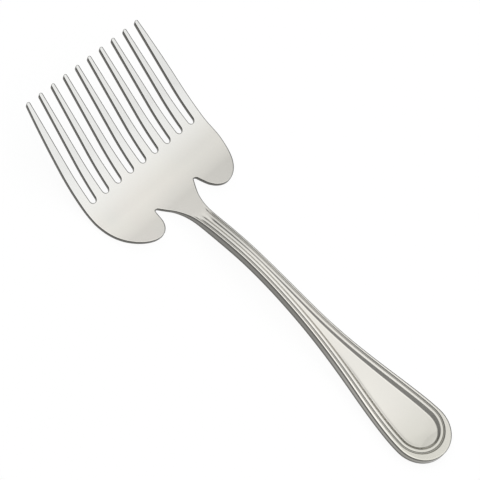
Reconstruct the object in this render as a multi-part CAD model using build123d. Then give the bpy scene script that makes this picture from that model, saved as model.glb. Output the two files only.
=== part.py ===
from build123d import *
import os
from math import cos, hypot, radians, tan

# A ten-tine pasta server, stamped and coined from one thick piece of stainless steel.
# It lies on a table as it is used: X runs from the tine tips to the handle's end, Z is up,
# and the origin is on the table under the middle of its length. All sizes are millimetres.

# The whole server
overall_length = 249.6
palm_width = 84.0
edge_round = 0.5
overrun = 4.0

# The sheet of the palm and tines, seen from the side, from the tips to the neck
sheet_thickness = 2.2
tine_slope = 30.0
upper_bend_radius = 112.0
upper_bend_turn = 10.0
lower_bend_radius = 32.0
resting_flat = 4.5
back_bend_radius = 40.0
back_slope = 15.0

# The palm, seen from above
tine_reach = 50.9
web_depth = 21.5
flat_setback = 9.9
widest_setback = 6.4
lobe_reach = 12.1
lobe_middle = 24.0
lobe_root = 15.9
lobe_root_reach = 4.9
notch_corner_setback = 2.0
notch_half_width = 14.25
notch_radius = 1.2

# The tines
tine_count = 10
slot_width = 3.7
outer_tine_width = 5.3
tine_tip_width = 2.2
tip_spread = 76.4
parting_setback = 1.0

# The handle
joint_setback = 4.9
joint_half_width = 9.4
crown_setback = 54.9
crown_height = 11.6
shaft_half_width = 4.2
shaft_depth = 5.5
end_half_width = 15.4
end_depth = 4.7
end_clearance = 0.01
under_round = 1.0

# The coined border: a flange, a groove, a round bead and the sunk panel within
flange_width = 1.35
flange_width_at_end_side = 2.2
flange_width_at_tip = 4.3
bead_width = 1.9
groove_radius = 0.6
groove_depth = 0.35
flute_depth = 0.3
panel_depth = 1.4
border_lead_in = 7.5
border_fade = 0.5
swell_rise = 0.7
swell_radius = 19.5
swell_setback = 10.8

# Shares of the palm's outline that its curves are drawn to
tine_side_share = 0.5
lower_round_share = 0.45
shoulder_pull_share = 0.60
lobe_pull_share = 0.45
lobe_tail_pull_share = 0.52
run_shares = (0.0, 0.33, 0.67)

# Handle sections from the joint to the crown: how far along, how much of the joint's extra width
# is left, how much of the rise is done, and how much of the shaft's extra depth is reached
rise_shares = (
    (0.00, 1.00, 0.00, 0.00),
    (0.10, 0.47, 0.17, 0.28),
    (0.20, 0.17, 0.34, 0.57),
    (0.32, 0.05, 0.52, 0.80),
    (0.52, 0.02, 0.76, 0.96),
    (0.80, 0.00, 0.97, 1.00),
)
# Handle sections from the crown to the middle of the round end: how far along, how much of the
# end's extra width is reached, how much of the fall is done, and how much of the end's depth
fall_shares = (
    (0.00, 0.00, 0.00, 0.00),
    (0.20, 0.04, 0.155, 0.00),
    (0.34, 0.11, 0.365, 0.00),
    (0.48, 0.25, 0.57, 0.05),
    (0.62, 0.46, 0.75, 0.25),
    (0.76, 0.71, 0.905, 0.65),
    (0.89, 0.915, 0.985, 0.97),
    (0.95, 0.98, 0.998, 1.00),
    (1.00, 1.00, 1.00, 1.00),
)

# Places along the length
tip_x = -overall_length / 2
end_x = overall_length / 2
slot_root_x = tip_x + tine_reach
notch_x = slot_root_x + web_depth
slot_centre_x = slot_root_x - slot_width / 2
parting_x = slot_centre_x - parting_setback
flat_start_x = slot_root_x + flat_setback
flat_end_x = flat_start_x + resting_flat
widest_x = slot_root_x + widest_setback
lobe_end_x = notch_x + lobe_reach
joint_x = notch_x + joint_setback
crown_x = notch_x + crown_setback
end_centre_x = end_x - end_half_width
border_half_width = end_half_width - flange_width_at_end_side
border_centre_x = end_x - flange_width_at_tip - border_half_width
end_top = end_depth + end_clearance

# Places across the width
palm_half_width = palm_width / 2
tip_half_width = tip_spread / 2
slot_count = tine_count - 1
slot_pitch = (palm_width - outer_tine_width * 2 - slot_width) / (slot_count - 1)
tip_pitch = (tip_spread - tine_tip_width) / slot_count


def smooth_run(parts):
    """One smooth curve through the ends and middles of arcs and lines that follow each other."""
    points = [part @ share for part in parts for share in run_shares]
    return Spline(*points, parts[-1] @ 1, tangents=[parts[0] % 0, parts[-1] % 1])


def sheet_line(drop):
    """The side view of the sheet at a drop below its upper face: tines, resting flat, back."""
    height = sheet_thickness - drop
    flat = Line((flat_start_x, height), (flat_end_x, height))
    lower = JernArc(flat @ 0, (-1, 0), lower_bend_radius + drop, upper_bend_turn - tine_slope)
    upper = JernArc(lower @ 1, lower % 1, upper_bend_radius + drop, -upper_bend_turn)
    run = ((upper @ 1).X - tip_x + overrun) / cos(radians(tine_slope))
    tines = Line(upper @ 1, upper @ 1 + (upper % 1) * run)
    back = JernArc(flat @ 1, (1, 0), back_bend_radius + drop, back_slope)
    tail_run = (lobe_end_x - (back @ 1).X + overrun) / cos(radians(back_slope))
    tail = Line(back @ 1, back @ 1 + (back % 1) * tail_run)
    return [smooth_run([lower, upper, tines]), flat, smooth_run([back, tail])]


def sheet_blank():
    """The bent sheet before its outline is cut, wider than the palm."""
    above = sheet_line(0)
    below = sheet_line(sheet_thickness)
    tip_end = Line(above[0] @ 1, below[0] @ 1)
    tail_end = Line(above[-1] @ 1, below[-1] @ 1)
    side = make_face(Wire([*above, tail_end, *below, tip_end]))
    return extrude(Plane.XZ * side, amount=palm_width, both=True)


def palm_outline():
    """The palm and tines from above, with the slots cut and the corners rounded."""
    tip_corner = (tip_x, tip_half_width)
    widest = (widest_x, palm_half_width)
    lobe_end = (lobe_end_x, lobe_middle)
    lobe_tail = (notch_x + lobe_root_reach, lobe_root)
    notch_corner = (notch_x - notch_corner_setback, notch_half_width)
    joint = (joint_x, joint_half_width)
    tine_side_x = tip_x + (widest_x - tip_x) * tine_side_share
    shoulder_x = widest_x + (lobe_end_x - widest_x) * shoulder_pull_share
    lobe_shoulder_y = lobe_middle + (palm_half_width - lobe_middle) * lobe_pull_share
    lobe_back_y = lobe_middle - (lobe_middle - lobe_root) * lobe_tail_pull_share
    tail_slope = (lobe_root - notch_half_width) / (lobe_tail[0] - notch_corner[0])
    tail_pull = (lobe_end_x - lobe_tail[0]) * lobe_tail_pull_share
    tail_pull_point = (lobe_tail[0] + tail_pull, lobe_root + tail_pull * tail_slope)
    side = [
        Line((tip_x, 0), tip_corner),
        Bezier(tip_corner, (tine_side_x, palm_half_width), widest),
        Bezier(widest, (shoulder_x, palm_half_width), (lobe_end_x, lobe_shoulder_y), lobe_end),
        Bezier(lobe_end, (lobe_end_x, lobe_back_y), tail_pull_point, lobe_tail),
        Line(lobe_tail, notch_corner),
        Line(notch_corner, joint),
        Line(joint, (joint_x, 0)),
    ]
    half = make_face(Wire([*side, Line((joint_x, 0), (tip_x, 0))]))
    outline = Sketch() + half + mirror(half, about=Plane.XZ)
    for slot in slots():
        outline -= slot
    notches = [v for v in outline.vertices() if abs(v.X - notch_corner[0]) < edge_round]
    outline = fillet(notches, notch_radius)
    tips = [v for v in outline.vertices() if abs(v.X - tip_x) < edge_round]
    return fillet(tips, (tine_tip_width - edge_round / 2) / 2)


def slots():
    """The round-rooted gaps between the tines, each wider at the open end."""
    shapes = []
    for number in range(slot_count):
        place = number - (slot_count - 1) / 2
        root_y = place * slot_pitch
        mouth_y = place * tip_pitch
        mouth_half = (tip_pitch - tine_tip_width) / 2
        sides = Polyline(
            (slot_centre_x, root_y - slot_width / 2),
            (tip_x, mouth_y - mouth_half),
            (tip_x - overrun, mouth_y - mouth_half),
            (tip_x - overrun, mouth_y + mouth_half),
            (tip_x, mouth_y + mouth_half),
            (slot_centre_x, root_y + slot_width / 2),
            close=True,
        )
        root = Pos(slot_centre_x, root_y) * Circle(slot_width / 2)
        shapes.append(make_face(sides) + root)
    return shapes


def round_rims(piece):
    """Rounds a piece's rims: not its upright edges, nor the lines across it at bends and joints."""
    rims = []
    for edge in piece.edges():
        spread = edge.bounding_box().size
        along = spread.X > edge_round / 2
        at_tip = spread.Y > edge_round / 2 and edge.center().X < tip_x + edge_round
        if along or at_tip:
            rims.append(edge)
    return piece.fillet(edge_round, rims)


def make_sheet():
    """The tines and the palm, cut from the bent sheet, parted and rounded."""
    cutter = extrude(palm_outline(), amount=palm_width, both=True)
    parting = Plane.YZ.offset(parting_x)
    sheet = split(sheet_blank() & cutter, bisect_by=parting, keep=Keep.BOTH)
    pieces = sheet.solids().sort_by(Axis.X)
    tines = [round_rims(tine) for tine in pieces[:-1].sort_by(Axis.Y)]
    return tines, round_rims(pieces[-1])


def stations():
    """The handle's sections from the joint to the end's middle: x, half width, top and depth."""
    joint_top = sheet_top(joint_x)
    joint_depth = sheet_thickness / cos(radians(back_slope))
    rows = []
    for along, width, rise, depth in rise_shares:
        x = joint_x + (crown_x - joint_x) * along
        half = shaft_half_width + (joint_half_width - shaft_half_width) * width
        top = joint_top + (crown_height - joint_top) * rise
        rows.append((x, half, top, joint_depth + (shaft_depth - joint_depth) * depth))
    for along, width, fall, depth in fall_shares:
        x = crown_x + (end_centre_x - crown_x) * along
        half = shaft_half_width + (end_half_width - shaft_half_width) * width
        top = crown_height + (end_top - crown_height) * fall
        rows.append((x, half, top, shaft_depth + (end_depth - shaft_depth) * depth))
    return rows


def sheet_top(x):
    """The height of the sheet's upper face at x, behind the resting flat."""
    upright = Line((x, 0), (x, palm_width))
    return sheet_line(0)[-1].intersect(upright).vertices()[0].Y


def across(x):
    """A plane across the handle at x, with its own X to the side and its own Y upward."""
    return Plane(origin=(x, 0, 0), x_dir=(0, 1, 0), z_dir=(1, 0, 0))


def handle_section(x, half, top, depth):
    """A flat-topped section with small upper corners and rounder lower corners."""
    lower = min(under_round, edge_round + (depth - sheet_thickness) * lower_round_share)
    shape = Pos(0, top - depth / 2) * Rectangle(half * 2, depth)
    corners = shape.vertices().sort_by(Axis.Y)
    shape = fillet(corners[:2], lower)
    corners = shape.vertices().sort_by(Axis.Y)
    shape = fillet(corners[-2:], edge_round)
    return across(x) * shape


def half_turn(section, x):
    """A round end: the near half of a section, turned about an upright axis through x."""
    reach = overall_length
    near_side = across(x) * Pos(reach / 2, 0) * Rectangle(reach, reach)
    turn_axis = Axis((x, 0, 0), (0, 0, 1))
    return revolve(section & near_side, axis=turn_axis, revolution_arc=-180)


def border_stations():
    """The sections that the border follows: x, flange's inner edge, top height, share of widening.

    The first one is lifted clear of the neck, so that the border runs in from nothing.
    """
    rows = []
    widening = flange_width_at_end_side - flange_width
    for x, half, top, depth in stations():
        if joint_x + border_lead_in < x < border_centre_x - bead_width:
            share = max(0, (half - shaft_half_width) / (end_half_width - shaft_half_width))
            rows.append((x, half - flange_width - widening * share, top, share))
    x, y, top, share = rows[0]
    rows[0] = (x, y, top + border_fade, share)
    rows.append((border_centre_x, border_half_width, end_top, 1))
    return rows


def groove_section(x, y, top):
    """The round tool that presses the groove between the flange and the bead."""
    return across(x) * Pos(y, top + groove_radius - groove_depth) * Circle(groove_radius)


def groove_cutter():
    rows = border_stations()
    side = loft([groove_section(x, y, top) for x, y, top, share in rows])
    x, y, top, share = rows[-1]
    return [side, mirror(side, about=Plane.XZ), half_turn(groove_section(x, y, top), x)]


def panel_section(x, y, top, share):
    """The sunk panel's section, with walls at 45 degrees from the bead down to its floor."""
    depth = flute_depth + (panel_depth - flute_depth) * share
    half = y - bead_width
    lift = overrun / 2
    corners = Polyline(
        (half - depth, top - depth),
        (half + lift, top + lift),
        (-half - lift, top + lift),
        (depth - half, top - depth),
        close=True,
    )
    return across(x) * make_face(corners)


def end_swell():
    """The top of a low dome that the panel's floor rises over at the round end."""
    dome_centre_x = end_x - swell_setback + swell_radius
    far_radius = dome_centre_x - border_centre_x - border_half_width + bead_width
    sunk = (swell_radius**2 - far_radius**2 - swell_rise**2) / swell_rise / 2
    floor_height = end_top - panel_depth
    return Pos(dome_centre_x, 0, floor_height - sunk) * Sphere(hypot(swell_radius, sunk))


def panel_cutter():
    sections = [panel_section(*row) for row in border_stations()]
    return [loft(sections), half_turn(sections[-1], border_centre_x)]


def make_handle():
    sections = [handle_section(*row) for row in stations()]
    body = loft(sections)
    body += half_turn(sections[-1], end_centre_x)
    for cutter in groove_cutter():
        body -= cutter
    dome = end_swell()
    for cutter in panel_cutter():
        body -= cutter - dome
    return body


# The stamping is one piece: it is written as nodes that meet face to face, the tines at the
# slots' roots and the handle at the neck.
tines, palm = make_sheet()
nodes = {"palm": palm, "handle": make_handle()}
for number, tine in enumerate(tines, start=1):
    nodes[f"tine_{number:02d}"] = tine

os.makedirs("parts", exist_ok=True)
for name, node in nodes.items():
    export_step(node, f"parts/{name}.step")
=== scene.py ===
from math import acos, asin, atan2, cos, hypot, pi, radians, sin, sqrt, tan

import bpy
import numpy as np
from mathutils import Matrix, Vector
from mathutils.geometry import delaunay_2d_cdt


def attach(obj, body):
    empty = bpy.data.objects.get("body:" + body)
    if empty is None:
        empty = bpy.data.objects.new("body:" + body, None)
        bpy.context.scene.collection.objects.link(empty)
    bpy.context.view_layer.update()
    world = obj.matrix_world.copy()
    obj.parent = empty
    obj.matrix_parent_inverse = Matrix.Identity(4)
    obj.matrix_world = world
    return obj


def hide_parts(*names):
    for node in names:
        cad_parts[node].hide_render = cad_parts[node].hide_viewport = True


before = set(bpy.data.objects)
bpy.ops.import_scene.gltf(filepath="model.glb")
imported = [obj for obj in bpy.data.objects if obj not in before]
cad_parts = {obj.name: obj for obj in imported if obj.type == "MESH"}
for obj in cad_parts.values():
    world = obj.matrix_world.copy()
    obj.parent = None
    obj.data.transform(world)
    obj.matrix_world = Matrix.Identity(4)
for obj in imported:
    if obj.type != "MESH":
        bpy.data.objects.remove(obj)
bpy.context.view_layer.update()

# Sizes in millimetres, named as in the part's own source. The tines' slope and the depths of the
# groove, the flute and the panel differ from the part's, to come closer to the photograph, and
# the tines' tips are rounded slightly wider.
MM = 0.001
overall_length = 249.6
palm_width = 84.0
edge_round = 0.5

# The sheet of the palm and tines, seen from the side
sheet_thickness = 2.2
tine_slope = radians(29.83)
upper_bend_radius = 112.0
upper_bend_turn = radians(10.0)
lower_bend_radius = 32.0
resting_flat = 4.5
back_bend_radius = 40.0
back_slope = radians(15.0)

# The palm, seen from above
tine_reach = 50.9
web_depth = 21.5
flat_setback = 9.9
widest_setback = 6.4
lobe_reach = 12.1
lobe_middle = 24.0
lobe_root = 15.9
lobe_root_reach = 4.9
notch_corner_setback = 2.0
notch_half_width = 14.25
notch_radius = 1.2
tine_side_share = 0.5
shoulder_pull_share = 0.60
lobe_pull_share = 0.45
lobe_tail_pull_share = 0.52

# The tines
tine_count = 10
slot_width = 3.7
outer_tine_width = 5.3
tine_tip_width = 2.2
tip_radius = 1.02
tip_spread = 76.4
parting_setback = 1.0

# The handle
joint_setback = 4.9
joint_half_width = 9.4
crown_setback = 54.9
crown_height = 11.6
shaft_half_width = 4.2
shaft_depth = 5.5
end_half_width = 15.4
end_depth = 4.7
end_clearance = 0.01
under_round = 1.0
lower_round_share = 0.45

# The coined border
flange_width = 1.35
flange_width_at_end_side = 2.2
flange_width_at_tip = 4.3
bead_width = 1.9
flute_depth = 0.5
panel_depth = 1.75

# Handle sections from the joint to the crown: how far along, how much of the joint's extra width
# is left, how much of the rise is done, and how much of the shaft's extra depth is reached
rise_shares = (
    (0.00, 1.00, 0.00, 0.00),
    (0.10, 0.47, 0.17, 0.28),
    (0.20, 0.17, 0.34, 0.57),
    (0.32, 0.05, 0.52, 0.80),
    (0.52, 0.02, 0.76, 0.96),
    (0.80, 0.00, 0.97, 1.00),
)
# Handle sections from the crown to the middle of the round end: how far along, how much of the
# end's extra width is reached, how much of the fall is done, and how much of the end's depth
fall_shares = (
    (0.00, 0.00, 0.00, 0.00),
    (0.20, 0.04, 0.155, 0.00),
    (0.34, 0.11, 0.365, 0.00),
    (0.48, 0.25, 0.57, 0.05),
    (0.62, 0.46, 0.75, 0.25),
    (0.76, 0.71, 0.905, 0.65),
    (0.89, 0.915, 0.985, 0.97),
    (0.95, 0.98, 0.998, 1.00),
    (1.00, 1.00, 1.00, 1.00),
)

# Places along the length, and the slots' spacing
tip_x = -overall_length / 2
end_x = overall_length / 2
slot_root_x = tip_x + tine_reach
notch_x = slot_root_x + web_depth
slot_centre_x = slot_root_x - slot_width / 2
parting_x = slot_centre_x - parting_setback
flat_start_x = slot_root_x + flat_setback
flat_end_x = flat_start_x + resting_flat
widest_x = slot_root_x + widest_setback
lobe_end_x = notch_x + lobe_reach
joint_x = notch_x + joint_setback
crown_x = notch_x + crown_setback
end_centre_x = end_x - end_half_width
border_half_width = end_half_width - flange_width_at_end_side
border_centre_x = end_x - flange_width_at_tip - border_half_width
end_top = end_depth + end_clearance
palm_half_width = palm_width / 2
slot_count = tine_count - 1
slot_pitch = (palm_width - outer_tine_width * 2 - slot_width) / (slot_count - 1)
tip_pitch = (tip_spread - tine_tip_width) / slot_count

# How finely the outlines are drawn: steps of a curve, or millimetres of a straight side, and the
# gaps below which places are left out
tine_side_steps = 160
shoulder_steps = 80
lobe_steps = 28
notch_steps = 14
root_steps = 24
tip_steps = 8
palm_side_step = 0.5
slot_side_step = 0.25
tine_side_step = 0.8
tip_gap = 0.05
same_place = 1e-4


def smooth(share):
    """A share from 0 to 1 that starts and ends gently."""
    share = min(1.0, max(0.0, share))
    return share * share * (3 - 2 * share)


def fade(x, start, end):
    """A gentle share, which is 0 at the start and 1 at the end."""
    return smooth((x - start) / (end - start))


# The sheet, seen from the side


def bend(reach, base, arcs):
    """Height and slope at a reach from where a bend starts: arcs of (radius, from, to), then straight."""
    along, height = 0.0, base
    for radius, start, end in arcs:
        run = radius * (sin(end) - sin(start))
        if reach <= along + run:
            turn = asin(sin(start) + (reach - along) / radius)
            return height + radius * (cos(start) - cos(turn)), tan(turn)
        along += run
        height += radius * (cos(start) - cos(end))
    return height + (reach - along) * tan(arcs[-1][2]), tan(arcs[-1][2])


def sheet_face(x, drop):
    """Height and slope (along X) of the sheet's face that lies a drop below the upper one."""
    base = sheet_thickness - drop
    if x < flat_start_x:
        lower_turn = tine_slope - upper_bend_turn
        arcs = ((lower_bend_radius + drop, 0.0, lower_turn),
                (upper_bend_radius + drop, lower_turn, tine_slope))
        height, slope = bend(flat_start_x - x, base, arcs)
        return height, -slope
    if x > flat_end_x:
        return bend(x - flat_end_x, base, ((back_bend_radius + drop, 0.0, back_slope),))
    return base, 0.0


def face_normal(x, drop):
    """The upward normal of the sheet's face that lies a drop below the upper one."""
    slope = sheet_face(x, drop)[1]
    return Vector((-slope, 0, 1)).normalized()


# Outlines, seen from above


def bezier(points, count):
    """Places at even steps of a Bezier curve of any degree."""
    places = []
    for step in range(count + 1):
        share = step / count
        row = [Vector(p) for p in points]
        while len(row) > 1:
            row = [a.lerp(b, share) for a, b in zip(row, row[1:])]
        places.append(row[0])
    return places


def straight(start, end, step):
    """Places along a straight side, about a step apart."""
    start, end = Vector(start), Vector(end)
    count = max(1, round((end - start).length / step))
    return [start.lerp(end, i / count) for i in range(count + 1)]


def round_corner(before, corner, after, radius, count):
    """The arc that rounds a corner between two straight sides."""
    before, corner, after = Vector(before), Vector(corner), Vector(after)
    u, v = (before - corner).normalized(), (after - corner).normalized()
    half = acos(u.dot(v)) / 2
    start, end = corner + u * radius / tan(half), corner + v * radius / tan(half)
    centre = corner + (u + v).normalized() * radius / sin(half)
    a, b = start - centre, end - centre
    turn = atan2(a.x * b.y - a.y * b.x, a.dot(b))
    places = []
    for step in range(count + 1):
        angle = turn * step / count
        places.append(centre + Vector((a.x * cos(angle) - a.y * sin(angle),
                                       a.x * sin(angle) + a.y * cos(angle))))
    return places


def joined(*runs):
    """One chain of places from runs that follow each other, without repeated places."""
    chain = []
    for run in runs:
        for place in run:
            if not chain or (Vector(place) - chain[-1]).length > same_place:
                chain.append(Vector(place))
    return chain


def flipped(chain):
    """The same chain on the other side of the middle, still with the metal on its left."""
    return [Vector((p.x, -p.y)) for p in reversed(chain)]


def outer_side():
    """The palm's side from the widest place to the tip's corner."""
    middle = (tip_x + (widest_x - tip_x) * tine_side_share, palm_half_width)
    return bezier([(widest_x, palm_half_width), middle, (tip_x, tip_spread / 2)], tine_side_steps)


def cut_at(chain, x):
    """A chain parted where it passes x."""
    for i in range(len(chain) - 1):
        a, b = chain[i], chain[i + 1]
        if (a.x - x) * (b.x - x) <= 0 and a.x != b.x:
            place = a.lerp(b, (x - a.x) / (b.x - a.x))
            place.x = x
            return chain[: i + 1] + [place], [place] + chain[i + 1:]
    raise ValueError("the chain does not pass that place")


def palm_side():
    """The palm's rim on its +Y side, from the neck round the lobe to the tine's root."""
    corner = (notch_x - notch_corner_setback, notch_half_width)
    joint = (joint_x, joint_half_width)
    tail = (notch_x + lobe_root_reach, lobe_root)
    tail_slope = (lobe_root - notch_half_width) / (tail[0] - corner[0])
    pull = (lobe_end_x - tail[0]) * lobe_tail_pull_share
    lobe_end = (lobe_end_x, lobe_middle)
    notch = round_corner(joint, corner, tail, notch_radius, notch_steps)
    lobe_back = bezier([tail, (tail[0] + pull, lobe_root + pull * tail_slope),
                        (lobe_end_x, lobe_middle - (lobe_middle - lobe_root) * lobe_tail_pull_share),
                        lobe_end], lobe_steps)
    shoulder = bezier([lobe_end,
                       (lobe_end_x, lobe_middle + (palm_half_width - lobe_middle) * lobe_pull_share),
                       (widest_x + (lobe_end_x - widest_x) * shoulder_pull_share, palm_half_width),
                       (widest_x, palm_half_width)], shoulder_steps)
    side = cut_at(outer_side(), parting_x)[0]
    return joined(straight(joint, notch[0], palm_side_step), notch,
                  straight(notch[-1], tail, palm_side_step), lobe_back, shoulder, side)


def slot_side(number, hand):
    """A slot's straight side, from the middle of its round root to the tip, on the +1 or -1 hand."""
    place = number - (slot_count - 1) / 2
    root = Vector((slot_centre_x, place * slot_pitch + hand * slot_width / 2))
    mouth_half = (tip_pitch - tine_tip_width) / 2
    return root, Vector((tip_x, place * tip_pitch + hand * mouth_half))


def at_x(line, x):
    """The place on a straight line at x."""
    return line[0].lerp(line[1], (x - line[0].x) / (line[1].x - line[0].x))


def slot_root(number):
    """The rim round a slot's root, from its +Y side to its -Y side, up to the parting plane."""
    upper, lower = slot_side(number, 1), slot_side(number, -1)
    centre = (upper[0] + lower[0]) / 2
    arc = []
    for step in range(root_steps + 1):
        angle = pi / 2 - pi * step / root_steps
        arc.append(centre + Vector((cos(angle), sin(angle))) * slot_width / 2)
    return joined(straight(at_x(upper, parting_x), upper[0], slot_side_step), arc,
                  straight(lower[0], at_x(lower, parting_x), slot_side_step))


def tine_rim(number):
    """A tine's rim from its root's +Y side round its tip and back. The first tine is at -Y."""
    outer = cut_at(outer_side(), parting_x)[1]
    upper, lower = outer, [Vector((p.x, -p.y)) for p in outer]
    if number < slot_count:
        side = slot_side(number, -1)
        upper = straight(at_x(side, parting_x), side[1], tine_side_step)
    if number > 0:
        side = slot_side(number - 1, 1)
        lower = straight(at_x(side, parting_x), side[1], tine_side_step)
    tip_upper, tip_lower = upper[-1], lower[-1]
    first = round_corner(upper[-2], tip_upper, tip_lower, tip_radius, tip_steps)
    second = round_corner(tip_upper, tip_lower, lower[-2], tip_radius, tip_steps)
    keep_upper = [p for p in upper if p.x > first[0].x + tip_gap]
    keep_lower = [p for p in lower if p.x > second[-1].x + tip_gap]
    return joined(keep_upper, first, second, reversed(keep_lower))


# Meshes

round_steps = 5
face_spacing = 1.6
face_clear_share = 0.4
fill_inside = 1
merge_distance = 1e-6

# The angles from the flat face over which painted shade darkens a rim. Rims that face +Y, the far
# ones in the photograph, get it sooner, and thinly on a narrow lip of the flat face.
rim_shade_start = radians(24)
rim_shade_end = radians(52)
far_rim_shade_start = radians(0)
far_rim_shade_end = radians(15)
far_lip_shade = 0.75
far_lip_width = 0.16


class Surface:
    """A mesh in the making: places in millimetres, their normals and shares of painted shade, and faces.
    """

    def __init__(self):
        self.places = []
        self.normals = []
        self.painted_shade = []
        self.faces = []

    def add(self, place, normal, shade_paint=0.0):
        """Adds a place and gives its number."""
        self.places.append(place)
        self.normals.append(normal)
        self.painted_shade.append(shade_paint)
        return len(self.places) - 1


def make_object(name, surface):
    """A smooth steel piece that replaces the CAD node of that name."""
    mesh = bpy.data.meshes.new(name)
    mesh.from_pydata([Vector(p) * MM for p in surface.places], [], surface.faces)
    mesh.polygons.foreach_set("use_smooth", [True] * len(mesh.polygons))
    mesh.normals_split_custom_set_from_vertices([Vector(n).normalized() for n in surface.normals])
    mesh.materials.append(steel)
    # Each place's share of painted shade, which the steel's colour reads.
    layer = mesh.attributes.new("painted_shade", "FLOAT", "POINT")
    layer.data.foreach_set("value", surface.painted_shade)
    piece = bpy.data.objects.new(name + "_steel", mesh)
    bpy.context.scene.collection.objects.link(piece)
    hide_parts(name)
    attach(piece, "root")


def outward(chain):
    """The outward normal at each place of a chain that has the metal on its left."""
    normals = []
    for i in range(len(chain)):
        tangent = chain[min(i + 1, len(chain) - 1)] - chain[max(i - 1, 0)]
        normals.append(Vector((tangent.y, -tangent.x)).normalized())
    return normals


def inside(point, loop):
    """Whether a point is inside a closed loop."""
    crossings = False
    for a, b in zip(loop, loop[1:] + loop[:1]):
        if (a.y > point.y) != (b.y > point.y):
            if point.x < a.x + (point.y - a.y) * (b.x - a.x) / (b.y - a.y):
                crossings = not crossings
    return crossings


def grid_inside(loop):
    """Places of an even grid inside a loop and clear of it."""
    low_x, high_x = min(p.x for p in loop), max(p.x for p in loop)
    low_y, high_y = min(p.y for p in loop), max(p.y for p in loop)
    count_x = max(2, round((high_x - low_x) / face_spacing))
    count_y = max(2, round((high_y - low_y) / face_spacing))
    edge = np.array([tuple(p) for p in loop])
    kept = []
    for i in range(1, count_x):
        for j in range(1, count_y):
            at = Vector((low_x + (high_x - low_x) * i / count_x, low_y + (high_y - low_y) * j / count_y))
            clear = np.hypot(edge[:, 0] - at.x, edge[:, 1] - at.y).min()
            if clear > face_spacing * face_clear_share and inside(at, loop):
                kept.append(at)
    return kept


def rim_shade_share(angle, far):
    """How much painted shade a rim has, at an angle from its flat face.

    Far says how much the rim faces +Y, from -1 to 1.
    """
    far = smooth(far)
    share = fade(angle, rim_shade_start + (far_rim_shade_start - rim_shade_start) * far,
                 rim_shade_end + (far_rim_shade_end - rim_shade_end) * far)
    return max(share, far_lip_shade * far)


def rim_column(surface, place, out, inward):
    """Adds the places round a plate's rim at one place of its outline, from the upper face down."""
    at = place + inward * (edge_round + far_lip_width)
    column = [surface.add((at.x, at.y, sheet_face(at.x, 0)[0]), face_normal(at.x, 0))]
    # Painted shade darkens the rim as it turns from the flat face, and on far rims a thin lip of the flat
    # face too.
    for step in range(round_steps + 1):
        angle = pi / 2 * step / round_steps
        at = place + inward * edge_round * (1 - sin(angle))
        level = sheet_face(at.x, 0)[0] - edge_round * (1 - cos(angle))
        normal = face_normal(at.x, 0) * cos(angle) + out.to_3d() * sin(angle)
        column.append(surface.add((at.x, at.y, level), normal, rim_shade_share(angle, out.y)))
    for step in range(round_steps + 1):
        angle = pi / 2 * step / round_steps
        at = place + inward * edge_round * (1 - cos(angle))
        level = sheet_face(at.x, sheet_thickness)[0] + edge_round * (1 - sin(angle))
        normal = -face_normal(at.x, sheet_thickness) * sin(angle) + out.to_3d() * cos(angle)
        column.append(surface.add((at.x, at.y, level), normal, rim_shade_share(pi / 2 - angle, 0)))
    return column


def fill_plate(surface, columns):
    """Adds a plate's upper and lower face, between the columns of its rim."""
    upper = [column[0] for column in columns]
    lower = [column[-1] for column in columns]
    loop = [Vector(surface.places[number][:2]) for number in upper]
    inner = grid_inside(loop)
    _, _, triangles, origins, _, _ = delaunay_2d_cdt(
        loop + inner, [], [list(range(len(loop)))], fill_inside, merge_distance)
    for at in inner:
        for numbers, drop, sign in ((upper, 0, 1), (lower, sheet_thickness, -1)):
            place = (at.x, at.y, sheet_face(at.x, drop)[0])
            numbers.append(surface.add(place, face_normal(at.x, drop) * sign))
    for triangle in triangles:
        corners = [origins[i][0] for i in triangle]
        surface.faces.append([upper[i] for i in corners])
        surface.faces.append([lower[i] for i in reversed(corners)])


def make_plate(name, chains):
    """A piece of the bent sheet between rims. Flat cuts across the sheet join the rims' ends."""
    surface = Surface()
    rims = []
    for chain in chains:
        rim = []
        for index, (place, out) in enumerate(zip(chain, outward(chain))):
            at_cut = index in (0, len(chain) - 1)
            inward = Vector((0, -1 / out.y)) if at_cut else -out
            rim.append(rim_column(surface, place, out, inward))
        for a, b in zip(rim, rim[1:]):
            for i in range(len(a) - 1):
                surface.faces.append((a[i], a[i + 1], b[i + 1], b[i]))
        rims.append(rim)
    for rim, after in zip(rims, rims[1:] + rims[:1]):
        surface.faces.append((*rim[-1], *reversed(after[0])))
    fill_plate(surface, [column for rim in rims for column in rim])
    make_object(name, surface)


# The handle's outline, seen from above and from the side


def spline(places, values, first_slope, last_slope):
    """A smooth function through values at places, with the given slopes at its ends."""
    x, y = np.array(places), np.array(values)
    gap = np.diff(x)
    rise = np.diff(y) / gap
    size = len(x)
    table, right = np.zeros((size, size)), np.zeros(size)
    table[0, 0], table[0, 1], right[0] = 2 * gap[0], gap[0], 6 * (rise[0] - first_slope)
    table[-1, -1], table[-1, -2], right[-1] = 2 * gap[-1], gap[-1], 6 * (last_slope - rise[-1])
    for i in range(1, size - 1):
        table[i, i - 1], table[i, i], table[i, i + 1] = gap[i - 1], 2 * (gap[i - 1] + gap[i]), gap[i]
        right[i] = 6 * (rise[i] - rise[i - 1])
    curve = np.linalg.solve(table, right)

    def value(at):
        at = min(max(at, x[0]), x[-1])
        i = min(max(int(np.searchsorted(x, at)) - 1, 0), size - 2)
        a, b, k = x[i + 1] - at, at - x[i], gap[i]
        return float((curve[i] * a**3 + curve[i + 1] * b**3) / (6 * k)
                     + (y[i] / k - curve[i] * k / 6) * a + (y[i + 1] / k - curve[i + 1] * k / 6) * b)

    return value


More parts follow.
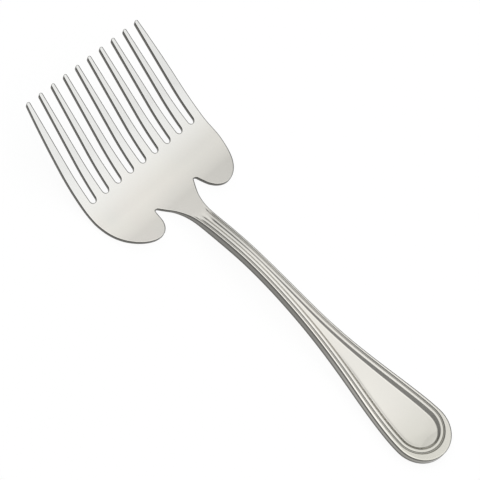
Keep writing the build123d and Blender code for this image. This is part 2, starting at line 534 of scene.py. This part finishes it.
def stations():
    """The handle's sections: x, half width, height of the top, and depth."""
    joint_top = sheet_face(joint_x, 0)[0]
    joint_depth = sheet_thickness / cos(back_slope)
    rows = []
    for along, width, rise, depth in rise_shares:
        rows.append((joint_x + (crown_x - joint_x) * along,
                     shaft_half_width + (joint_half_width - shaft_half_width) * width,
                     joint_top + (crown_height - joint_top) * rise,
                     joint_depth + (shaft_depth - joint_depth) * depth))
    for along, width, fall, depth in fall_shares:
        rows.append((crown_x + (end_centre_x - crown_x) * along,
                     shaft_half_width + (end_half_width - shaft_half_width) * width,
                     crown_height + (end_top - crown_height) * fall,
                     shaft_depth + (end_depth - shaft_depth) * depth))
    return rows


station_rows = stations()
station_x = [row[0] for row in station_rows]
neck_slope = (joint_half_width - notch_half_width) / (joint_setback + notch_corner_setback)
half_at = spline(station_x, [row[1] for row in station_rows], neck_slope, 0)
top_at = spline(station_x, [row[2] for row in station_rows], tan(back_slope), 0)
depth_at = spline(station_x, [row[3] for row in station_rows], 0, 0)


def widening(x):
    """How far the handle has widened at x, from its shaft to its round end."""
    return min(1.0, max(0.0, (half_at(x) - shaft_half_width) / (end_half_width - shaft_half_width)))


def groove_at(x):
    """Half the distance between the two grooves at x."""
    share = widening(x) * fade(x, joint_x, crown_x)
    return half_at(x) - flange_width - (flange_width_at_end_side - flange_width) * share


# The coined border. Its places count from the groove's bottom line, and its drops from the face.
groove_half = 0.78
groove_depth = 0.52
bead_edge = 0.74
bead_edge_drop = 0.05
bead_edge_slope = -0.25
bead_crest = 1.2
bead_shoulder_drop = 0.16
wall_slope = 0.88
least_wall_run = 0.05
foot_round = 0.30
sink_power = 0.45
tip_rise_share = 0.45
floor_rise_start_share = 0.3
edge_fall = 0.20
edge_fall_at_end = 0.36
edge_fall_run = 0.55
edge_fall_run_share = 0.6
crown_tilt = 0.11
crown_rise_share = 0.4
wide_gain = 2

# Where the border and the flute begin and reach their full depth, counted from the joint, and
# where the grooves begin to shift to meet the round end's, counted from the crown
press_start = 8.5
press_end = 16.0
flute_start = 10.5
flute_end = 19.0
full_flute = 0.99
mend_start = 60.0

# How much painted shade darkens the grooves, the wall of the panel and the side wall, on the shaft
# and at the end, and how the near side's wall and the floor beside it differ, to show what the photograph
# shows
groove_shade = 0.42
groove_shade_at_end = 0.62
bead_shade = 0.34
bead_shade_at_end = 0.14
near_bead_share = 0.3
wall_places = (0.14, 0.30, 0.66, 0.84)
wall_shades = (0.98, 0.86, 0.88, 1.0)
wall_shades_at_end = (0.92, 0.64, 0.74, 1.0)
near_floor_tilt = 0.26
near_floor_width = 2.4

# The low swell on the panel's floor: a ball's cap that rises as the panel nears its tip
swell_rise = 0.7
swell_radius = 19.5
swell_setback = 10.8
swell_centre_x = end_x - swell_setback + swell_radius
far_radius = swell_centre_x - border_centre_x - border_half_width + bead_width
sphere_sunk = (swell_radius**2 - far_radius**2 - swell_rise**2) / swell_rise / 2
sphere_radius = hypot(swell_radius, sphere_sunk)

# Columns across the handle: the floor, then the foot, the wall, the bead's two sides and the
# groove's two sides, then the flange and its fall
floor_steps = 18
run_steps = (6, 4, 6, 4, 6, 6)
flange_steps = 3
fall_steps = 5
under_steps = 5
near_shoulder_steps = 2
swell_columns = floor_steps + run_steps[0]
near_bead_columns = swell_columns + run_steps[1] + near_shoulder_steps
side_steps = 190
end_steps = 48
slope_reach = 0.05
share_reach = 0.01
least_length = 1e-9

groove_mend = border_half_width - groove_at(border_centre_x)


def hermite(start, end, share):
    """Between two (place, height, slope) keys: the place, the height and the slope at a share."""
    run = end[0] - start[0]
    t = share
    height = ((2 * t**3 - 3 * t**2 + 1) * start[1] + (t**3 - 2 * t**2 + t) * run * start[2]
              + (3 * t**2 - 2 * t**3) * end[1] + (t**3 - t**2) * run * end[2])
    slope = ((6 * t**2 - 6 * t) * (start[1] - end[1]) / run
             + (3 * t**2 - 4 * t + 1) * start[2] + (3 * t**2 - 2 * t) * end[2])
    return start[0] + run * t, height, slope


def swell(x, y):
    """How far the low swell raises the panel's floor."""
    away = hypot(x - swell_centre_x, y)
    if away >= swell_radius:
        return 0.0
    return sqrt(sphere_radius**2 - away**2) - sphere_sunk


def border_keys(groove, sink, press, flute):
    """The border's keys, (distance, height, slope), from the foot of the panel's wall outward."""
    shoulder = groove - bead_width
    round_drop = min(foot_round, sink / 2)
    wall_run = max(least_wall_run, (sink - bead_shoulder_drop - round_drop) / wall_slope)
    return (
        (shoulder - wall_run - round_drop * 2, -sink * flute, 0.0),
        (shoulder - wall_run, -(sink - round_drop) * flute, wall_slope * flute),
        (shoulder, -bead_shoulder_drop * flute, wall_slope * flute),
        (groove - bead_crest, 0.0, 0.0),
        (groove - bead_edge, -bead_edge_drop * press, bead_edge_slope * press),
        (groove, -groove_depth * press, 0.0),
        (groove + groove_half, 0.0, 0.0),
    )


def border_shades(press, flute, wide):
    """How much painted shade darkens the metal at each of the border's keys."""
    groove_tone = (groove_shade + (groove_shade_at_end - groove_shade) * wide) * press
    bead_tone = (bead_shade + (bead_shade_at_end - bead_shade) * wide) * flute
    return 0.0, bead_tone, bead_tone, 0.0, 0.0, groove_tone, 0.0


def floor_profile(foot_place, sink, middle_sink, flute):
    """The panel's floor, from its middle to the foot of the wall, where it may be less deep."""
    row = []
    rise = middle_sink - sink
    for step in range(floor_steps):
        share = step / floor_steps
        raised, before, after = [fade(place, floor_rise_start_share, 1)
                                 for place in (share, share - share_reach, share + share_reach)]
        slope = (after - before) * rise / (foot_place * (share_reach * 2))
        row.append((foot_place * share, rise * raised - middle_sink * flute, slope, 0.0))
    return row


def flange_profile(start, outer, foot, fall):
    """The flat flange, and the slight fall that ends where the rim's rounding begins."""
    row = []
    flat_end = outer - foot
    fall_run = min(edge_fall_run, (flat_end - start) * edge_fall_run_share)
    fall_start = flat_end - fall_run
    for step in range(flange_steps):
        row.append((start + (fall_start - start) * step / flange_steps, 0.0, 0.0, 0.0))
    for step in range(fall_steps + 1):
        share = step / fall_steps
        row.append((fall_start + fall_run * share, -fall * fall_run * share**2 / 2, -fall * share, 0.0))
    return row


def half_profile(outer, groove, sinks, press, flute, wide, foot):
    """The upper half profile, from the middle outward: (distance, height, slope, shade) per column.

    Sinks are the panel's depths at the wall's foot and in the middle. Press and flute are the
    shares of the border's and the panel's full depth, and wide is how far the handle has widened.
    """
    sink, middle_sink = sinks
    keys = border_keys(groove, sink, press, flute)
    shades = border_shades(press, flute, wide)
    row = floor_profile(keys[0][0], sink, middle_sink, flute)
    for number, steps in enumerate(run_steps):
        start, end = keys[number], keys[number + 1]
        for step in range(steps):
            share = step / steps
            shade = shades[number] + (shades[number + 1] - shades[number]) * smooth(share)
            row.append((*hermite(start, end, share), shade))
    fall = (edge_fall + (edge_fall_at_end - edge_fall) * wide) * press
    return row + flange_profile(keys[-1][0], outer, foot, fall)


class Row:
    """A row of the handle's columns, in a line seen from above, at a turn from straight aside.

    A column is its place on the +Y side, then (profile direction, share of painted shade) for the
    far side, +Y, and for the near side, -Y, where the normals and the painted shade differ a little.
    """

    def __init__(self, centre_x, turn):
        self.centre_x = centre_x
        self.way = Vector((sin(turn), cos(turn)))
        self.columns = []

    def x_at(self, distance):
        return self.centre_x + self.way.x * distance

    def add(self, distance, level, across, far, near=None):
        """Adds a column whose profile goes across and up. Far and near are (up, share of painted shade).
        """
        at = Vector((self.centre_x, 0)) + self.way * distance
        sides = []
        for up, shade_paint in (far, near or far):
            sides.append((Vector((self.way.x * across, self.way.y * across, up)), shade_paint))
        self.columns.append((Vector((at.x, at.y, level)), *sides))


def add_top(row, profile, outer, crown, flute, wide):
    """Adds the columns of the upper face, from its middle to where the rim's rounding begins."""
    way = row.way
    foot_place = profile[floor_steps][0]
    for number, (distance, drop, slope, shade) in enumerate(profile):
        level = top_at(row.x_at(distance)) + drop
        far_shade = near_shade = shade
        near_slope = 0.0
        if number < floor_steps:
            near_slope = (near_floor_tilt * wide * way.y
                          * fade(distance, foot_place - near_floor_width, foot_place))
        # The near side's bead and wall get less painted shade.
        if number < near_bead_columns:
            near_shade = shade * near_bead_share
        # The far side's outer lip gets a thin line of painted shade.
        if number == len(profile) - 1:
            far_shade = far_lip_shade * smooth(way.y)
        if number < swell_columns and flute > full_flute:
            level += swell(row.x_at(distance), way.y * distance)
            ahead, behind = distance + slope_reach, distance - slope_reach
            slope += (swell(row.x_at(ahead), way.y * ahead)
                      - swell(row.x_at(behind), way.y * behind)) / (ahead - behind)
        tilt = crown * distance / outer
        level -= tilt * distance / 2 * crown_rise_share
        row.add(distance, level, 1.0, (slope - tilt, far_shade), (slope - tilt + near_slope, near_shade))


def add_side(row, outer, lean, droop, wide):
    """Adds the columns of the upper rounding, the side wall, the lower rounding and the underside."""
    outer_x = row.x_at(outer)
    top = top_at(outer_x) - droop
    depth = depth_at(outer_x) - droop
    lower = min(under_round, edge_round + (depth - sheet_thickness) * lower_round_share)
    rounding = edge_round * lean
    for step in range(1, round_steps + 1):
        angle = pi / 2 * step / round_steps
        row.add(outer - rounding * (1 - sin(angle)), top - edge_round * (1 - cos(angle)), cos(angle),
                (-sin(angle), rim_shade_share(angle, row.way.y)), (-sin(angle), rim_shade_share(angle, 0)))
    wall = depth - edge_round - lower
    # Painted shade darkens the side wall.
    for share, thin_shade, wide_shade in zip(wall_places, wall_shades, wall_shades_at_end):
        shade = thin_shade + (wide_shade - thin_shade) * wide
        row.add(outer, top - edge_round - wall * share, 0.0, (-1.0, shade))
    for step in range(round_steps + 1):
        angle = pi / 2 * step / round_steps
        row.add(outer - lower * lean * (1 - cos(angle)), top - depth + lower * (1 - sin(angle)),
                -sin(angle), (-cos(angle), rim_shade_share(pi / 2 - angle, 0)))
    flat = outer - lower * lean
    for step in reversed(range(under_steps)):
        share = step / under_steps
        x = row.centre_x + row.way.x * flat * share
        row.add(flat * share, top_at(x) - depth_at(x), -1.0, (0.0, 0.0))


def handle_row(centre_x, turn, outer, groove, lean):
    """The columns of one row, from the middle of the top round the rim to the middle of the bottom."""
    row = Row(centre_x, turn)
    widened = widening(centre_x)
    press = fade(centre_x, joint_x + press_start, joint_x + press_end)
    flute = fade(centre_x, joint_x + flute_start, joint_x + flute_end)
    wide = smooth(widened * wide_gain) * flute
    crown = crown_tilt * press * (1 - smooth(widened * wide_gain))
    middle_sink = flute_depth + (panel_depth - flute_depth) * widened**sink_power
    sink = middle_sink * (1 - tip_rise_share * smooth(turn / (pi / 2)))
    profile = half_profile(outer, groove, (sink, middle_sink), press, flute, wide, edge_round * lean)
    add_top(row, profile, outer, crown, flute, wide)
    droop = crown * outer / 2 * crown_rise_share - profile[-1][1]
    add_side(row, outer, lean, droop, wide)
    return row.columns


def end_outer(turn):
    """The distance from the border's centre to the round end's rim, at a turn from straight aside."""
    half_right = radians(45)
    along = end_half_width * tan(min(turn, half_right))
    offset = end_centre_x - border_centre_x
    if turn < half_right and along < offset:
        return half_at(border_centre_x + along) / cos(turn)
    return offset * sin(turn) + sqrt((offset * sin(turn)) ** 2 - offset**2 + end_half_width**2)


def handle_rows():
    """The handle's rows: across it from the joint to the border's centre, then round the end."""
    rows = []
    for step in range(side_steps):
        x = joint_x + (border_centre_x - joint_x) * step / side_steps
        slope = neck_slope
        if step:
            slope = (half_at(x + slope_reach) - half_at(x - slope_reach)) / (slope_reach * 2)
        groove = groove_at(x) + groove_mend * fade(x, crown_x + mend_start, border_centre_x)
        rows.append(handle_row(x, 0.0, half_at(x), groove, hypot(1, slope)))
    for step in range(end_steps + 1):
        turn = pi / 2 * step / end_steps
        rows.append(handle_row(border_centre_x, turn, end_outer(turn), border_half_width, 1.0))
    return rows


def handle_normal(rows, r, c, along):
    """The normal on the +Y side at a row's column, where the profile goes along a direction."""
    middle = c in (0, len(rows[r]) - 1)
    if r == len(rows) - 1:
        run = Vector((0, -1, 0))
    elif middle and r == side_steps:
        run = Vector((1, 0, 0))
    else:
        run = rows[r + 1][c][0] - rows[max(r - 1, 0)][c][0]
    normal = run.cross(along)
    if middle:
        normal = Vector((-run.z, 0, run.x)) * (1 if c == 0 else -1)
    return normal if normal.length > least_length else Vector((0, 0, 1))


def make_handle():
    """The handle: its rows on the +Y side, the same places mirrored, and the cut at the joint.

    Both sides share the places on the middle line, and the rows round the end share its centre.
    """
    surface = Surface()
    rows = handle_rows()
    size, last = len(rows[0]), len(rows) - 1
    index = {}
    for side in (1, -1):
        for r, row in enumerate(rows):
            for c, (place, far, near) in enumerate(row):
                middle = c in (0, size - 1)
                if side == -1 and (middle or r == last):
                    index[side, r, c] = index[1, r, c]
                elif middle and r > side_steps:
                    index[side, r, c] = index[side, side_steps, c]
                else:
                    along, shade_paint = far if side == 1 else near
                    normal = handle_normal(rows, r, c, along)
                    index[side, r, c] = surface.add((place.x, place.y * side, place.z),
                                                    (normal.x, normal.y * side, normal.z), shade_paint)
    for side in (1, -1):
        for r in range(last):
            for c in range(size - 1):
                square = ((r, c), (r + 1, c), (r + 1, c + 1), (r, c + 1))
                corners = list(dict.fromkeys(index[side, i, j] for i, j in square))
                if len(corners) > 2:
                    surface.faces.append(corners if side == 1 else corners[::-1])
    surface.faces.append([index[1, 0, c] for c in range(size)]
                         + [index[-1, 0, c] for c in range(size - 2, 0, -1)])
    make_object("handle", surface)


# Shader nodes


def new_material(name):
    """A material with only an output: the material, its node tree and the output."""
    material = bpy.data.materials.new(name)
    material.use_nodes = True
    material.node_tree.nodes.clear()
    output = material.node_tree.nodes.new("ShaderNodeOutputMaterial")
    return material, material.node_tree, output


def add_node(tree, kind, inputs, operation=None):
    """A shader node whose inputs are plain values or other nodes' outputs."""
    node = tree.nodes.new("ShaderNode" + kind)
    if operation:
        node.operation = operation
    for socket, source in inputs.items():
        if isinstance(source, bpy.types.NodeSocket):
            tree.links.new(source, node.inputs[socket])
        else:
            node.inputs[socket].default_value = source
    return node


def ramp(tree, source, start, end, low, high, kind="SMOOTHSTEP"):
    """A level that goes from low to high while its source goes from start to end."""
    node = add_node(tree, "MapRange", {"Value": source, "From Min": start, "From Max": end,
                                       "To Min": low, "To Max": high})
    node.interpolation_type = kind
    return node.outputs["Result"]


# The finish: polished steel with faint cloudy tints and fine scratches, with painted shade that
# darkens the rims, walls and grooves, the +Y side, the tines and the round end. Each noise has its
# stretch along the axes, its scale and its detail, and each tone's reach along an axis is in metres.
steel_cool = (0.812, 0.803, 0.758, 1)
steel_warm = (0.875, 0.850, 0.786, 1)
steel_rose = (0.853, 0.812, 0.765, 1)
steel_green_shade = (0.600, 0.592, 0.515, 1)
steel_side_shade = (0.742, 0.728, 0.680, 1)
steel_tine_shade = (0.762, 0.764, 0.746, 1)
steel_painted_shade = (0.125, 0.122, 0.112, 1)
cloud_noise = ((1.0, 1.0, 1.0), 38.0, 2.0)
tint_noise = ((1.0, 1.6, 1.0), 61.0, 1.0)
scratch_noise = ((0.06, 1.0, 1.0), 5200.0, 3.0)
grain_noise = ((0.5, 1.0, 1.0), 1500.0, 2.0)
noise_low, noise_high = 0.3, 0.7
rose_share = 0.5
end_shade_start, end_shade_end, end_shade_share = 0.085, 0.121, 0.8
side_shade_start, side_shade_end, side_shade_share = -0.040, 0.040, 0.8
tine_shade_start, tine_shade_end = -0.088, -0.058
least_roughness, most_roughness = 0.21, 0.25
scratch_strength = 0.004
scratch_distance = 0.0001


def make_steel():
    """The steel, with painted shade on its rims, walls and grooves, on its +Y side, on its cooler tines
    and on its greener round end.
    """
    material, tree, output = new_material("stainless_steel")
    place = add_node(tree, "TexCoord", {}).outputs["Object"]
    axes = add_node(tree, "SeparateXYZ", {"Vector": place}).outputs
    shade_paint = add_node(tree, "Attribute", {})
    shade_paint.attribute_name = "painted_shade"

    def noise(stretch, scale, detail):
        mapping = add_node(tree, "Mapping", {"Vector": place, "Scale": stretch})
        cloud = add_node(tree, "TexNoise", {"Vector": mapping.outputs["Vector"],
                                            "Scale": scale, "Detail": detail})
        return cloud.outputs["Fac"]

    def spread(kind, low, high):
        return ramp(tree, noise(*kind), noise_low, noise_high, low, high, "LINEAR")

    def blend(share, first, second):
        mix = tree.nodes.new("ShaderNodeMix")
        mix.data_type = "RGBA"
        tree.links.new(share, mix.inputs[0])
        for socket, colour in ((mix.inputs[6], first), (mix.inputs[7], second)):
            if isinstance(colour, tuple):
                socket.default_value = colour
            else:
                tree.links.new(colour, socket)
        return mix.outputs[2]

    tone = blend(spread(cloud_noise, 0.0, 1.0), steel_cool, steel_warm)
    tone = blend(spread(tint_noise, 0.0, rose_share), tone, steel_rose)
    # Painted shade: the round end darker, and greener.
    tone = blend(ramp(tree, axes["X"], end_shade_start, end_shade_end, 0.0, end_shade_share), tone, steel_green_shade)
    # Painted shade: darker toward +Y.
    tone = blend(ramp(tree, axes["Y"], side_shade_start, side_shade_end, 0.0, side_shade_share), tone, steel_side_shade)
    # Painted shade: the tines a plain, darker and cooler tone.
    tone = blend(ramp(tree, axes["X"], tine_shade_start, tine_shade_end, 0.0, 1.0), steel_tine_shade, tone)
    # Painted shade from the mesh darkens the rims, side walls, grooves and the panel's wall.
    tone = blend(shade_paint.outputs["Fac"], tone, steel_painted_shade)
    scratches = add_node(tree, "Bump", {"Height": noise(*scratch_noise), "Strength": scratch_strength,
                                        "Distance": scratch_distance})
    roughness = spread(grain_noise, least_roughness, most_roughness)
    metal = add_node(tree, "BsdfPrincipled", {"Metallic": 1.0, "Base Color": tone, "Roughness": roughness,
                                              "Normal": scratches.outputs["Normal"]})
    tree.links.new(metal.outputs["BSDF"], output.inputs["Surface"])
    return material


steel = make_steel()

palm_chains = [palm_side()]
palm_chains += [slot_root(number) for number in reversed(range(slot_count))]
palm_chains.append(flipped(palm_side()))
make_plate("palm", palm_chains)
for number in range(tine_count):
    make_plate(f"tine_{number + 1:02d}", [tine_rim(number)])
make_handle()

# The studio, in metres. The metal shows a dome that is white overhead and dim near the floor. Its
# white leans toward +Y, reaches further along X, and is brighter toward the handle's end.
white = (1.0, 1.0, 1.0, 1.0)
floor_reach = 6.0
floor_colour = (0.97, 0.97, 0.97, 1.0)
floor_white_share = 0.85
floor_white_level = 1.05
dome_radius = 3.0
dome_rings = 24
dome_sides = 48
dome_lean = radians(8)
dome_squeeze = (0.7, 1.0, 1.0)
dome_dark_below = 0.45
dome_white_above = 0.80
dome_dark_level = 0.16
dome_white_level = 1.0
dome_end_gain = 0.28
overhead_place = Vector((0.0, -0.12, 0.99))
overhead_start, overhead_end, overhead_gain = 0.93, 0.985, 0.35


def new_object(name, places, faces, material):
    """A plain object of the studio."""
    mesh = bpy.data.meshes.new(name)
    mesh.from_pydata(places, [], faces)
    mesh.polygons.foreach_set("use_smooth", [True] * len(mesh.polygons))
    mesh.materials.append(material)
    made = bpy.data.objects.new(name, mesh)
    bpy.context.scene.collection.objects.link(made)
    return made


def make_floor():
    """A white floor. What is seen of it, straight or in the metal, is mostly plain white."""
    material, tree, output = new_material("floor_white")
    path = add_node(tree, "LightPath", {}).outputs
    seen = add_node(tree, "Math", {0: path["Is Camera Ray"], 1: path["Is Glossy Ray"]}, "ADD")
    share = add_node(tree, "Math", {0: seen.outputs[0], 1: floor_white_share}, "MULTIPLY")
    matt = add_node(tree, "BsdfDiffuse", {"Color": floor_colour})
    glow = add_node(tree, "Emission", {"Strength": floor_white_level})
    mix = add_node(tree, "MixShader", {"Fac": share.outputs[0], 1: matt.outputs[0], 2: glow.outputs[0]})
    tree.links.new(mix.outputs[0], output.inputs["Surface"])
    corners = [(x * floor_reach, y * floor_reach, 0) for x, y in ((-1, -1), (1, -1), (1, 1), (-1, 1))]
    new_object("floor", corners, [(0, 1, 2, 3)], material)


def make_world():
    """The plain white light round everything."""
    world = bpy.data.worlds.new("studio")
    bpy.context.scene.world = world
    world.use_nodes = True
    world.node_tree.nodes["Background"].inputs["Color"].default_value = white


def make_dome_light():
    """The dome's light: a soft step from dim to white overhead, and a brighter spot above."""
    material, tree, output = new_material("dome_light")

    def vector(operation, inputs):
        return add_node(tree, "VectorMath", inputs, operation).outputs

    def maths(operation, inputs):
        return add_node(tree, "Math", inputs, operation).outputs[0]

    position = add_node(tree, "NewGeometry", {}).outputs["Position"]
    unit = vector("NORMALIZE", {0: position})["Vector"]
    narrow = vector("MULTIPLY", {0: unit, 1: dome_squeeze})["Vector"]
    squeezed = vector("NORMALIZE", {0: narrow})["Vector"]
    lean = Vector((0.0, sin(dome_lean), cos(dome_lean)))
    facing = vector("DOT_PRODUCT", {0: squeezed, 1: lean})["Value"]
    toward = vector("DOT_PRODUCT", {0: squeezed, 1: overhead_place.normalized()})["Value"]
    plain = ramp(tree, facing, dome_dark_below, dome_white_above, dome_dark_level, dome_white_level)
    overhead = ramp(tree, toward, overhead_start, overhead_end, 0.0, overhead_gain)
    axes = add_node(tree, "SeparateXYZ", {0: unit}).outputs
    gain = maths("MULTIPLY_ADD", {0: axes["X"], 1: dome_end_gain, 2: 1.0})
    total = maths("ADD", {0: maths("MULTIPLY", {0: gain, 1: plain}), 1: overhead})
    glow = add_node(tree, "Emission", {"Strength": total})
    tree.links.new(glow.outputs[0], output.inputs["Surface"])
    return material


def make_dome():
    """A half ball above the floor, which lights the metal and which the camera doesn't see."""
    places, faces = [], []
    for ring in range(dome_rings + 1):
        turn = pi / 2 * ring / dome_rings
        for step in range(dome_sides):
            angle = 2 * pi * step / dome_sides
            places.append((dome_radius * cos(turn) * cos(angle), dome_radius * cos(turn) * sin(angle),
                           dome_radius * sin(turn)))
    for ring in range(dome_rings):
        for step in range(dome_sides):
            a, b = ring * dome_sides + step, ring * dome_sides + (step + 1) % dome_sides
            faces.append((a, a + dome_sides, b + dome_sides, b))
    dome = new_object("dome", places, faces, make_dome_light())
    dome.visible_camera = False


# The photograph's view, fitted to its outline: far off with a long lens, from above and from the
# -Y side, rolled. The aim is in the part's millimetres, the distance and the clipping in metres,
# and the lens and the sensor in the camera's own millimetres.
camera_aim = Vector((-14.5629, 4.4535, 6.0)) * MM
camera_distance = 1.05617
camera_azimuth = radians(-74.433)
camera_elevation = radians(58.031)
camera_roll = radians(30.949)
camera_lens = 166.52
camera_sensor = 36.0
camera_near, camera_far = 0.05, 20.0


def make_camera():
    """The camera that looks at its aim from the photograph's side."""
    flat = cos(camera_elevation)
    back = Vector((cos(camera_azimuth) * flat, sin(camera_azimuth) * flat, sin(camera_elevation)))
    right = (-back).cross(Vector((0, 0, 1))).normalized()
    upward = right.cross(-back)
    turned_right = right * cos(camera_roll) + upward * sin(camera_roll)
    turned_up = back.cross(turned_right)
    data = bpy.data.cameras.new("camera")
    data.lens = camera_lens
    data.sensor_width = camera_sensor
    data.clip_start = camera_near
    data.clip_end = camera_far
    camera = bpy.data.objects.new("camera", data)
    bpy.context.scene.collection.objects.link(camera)
    axes = Matrix((turned_right, turned_up, back)).transposed()
    camera.matrix_world = Matrix.Translation(camera_aim + back * camera_distance) @ axes.to_4x4()
    bpy.context.scene.camera = camera


make_floor()
make_world()
make_dome()
make_camera()
bpy.context.scene.view_settings.view_transform = "Standard"
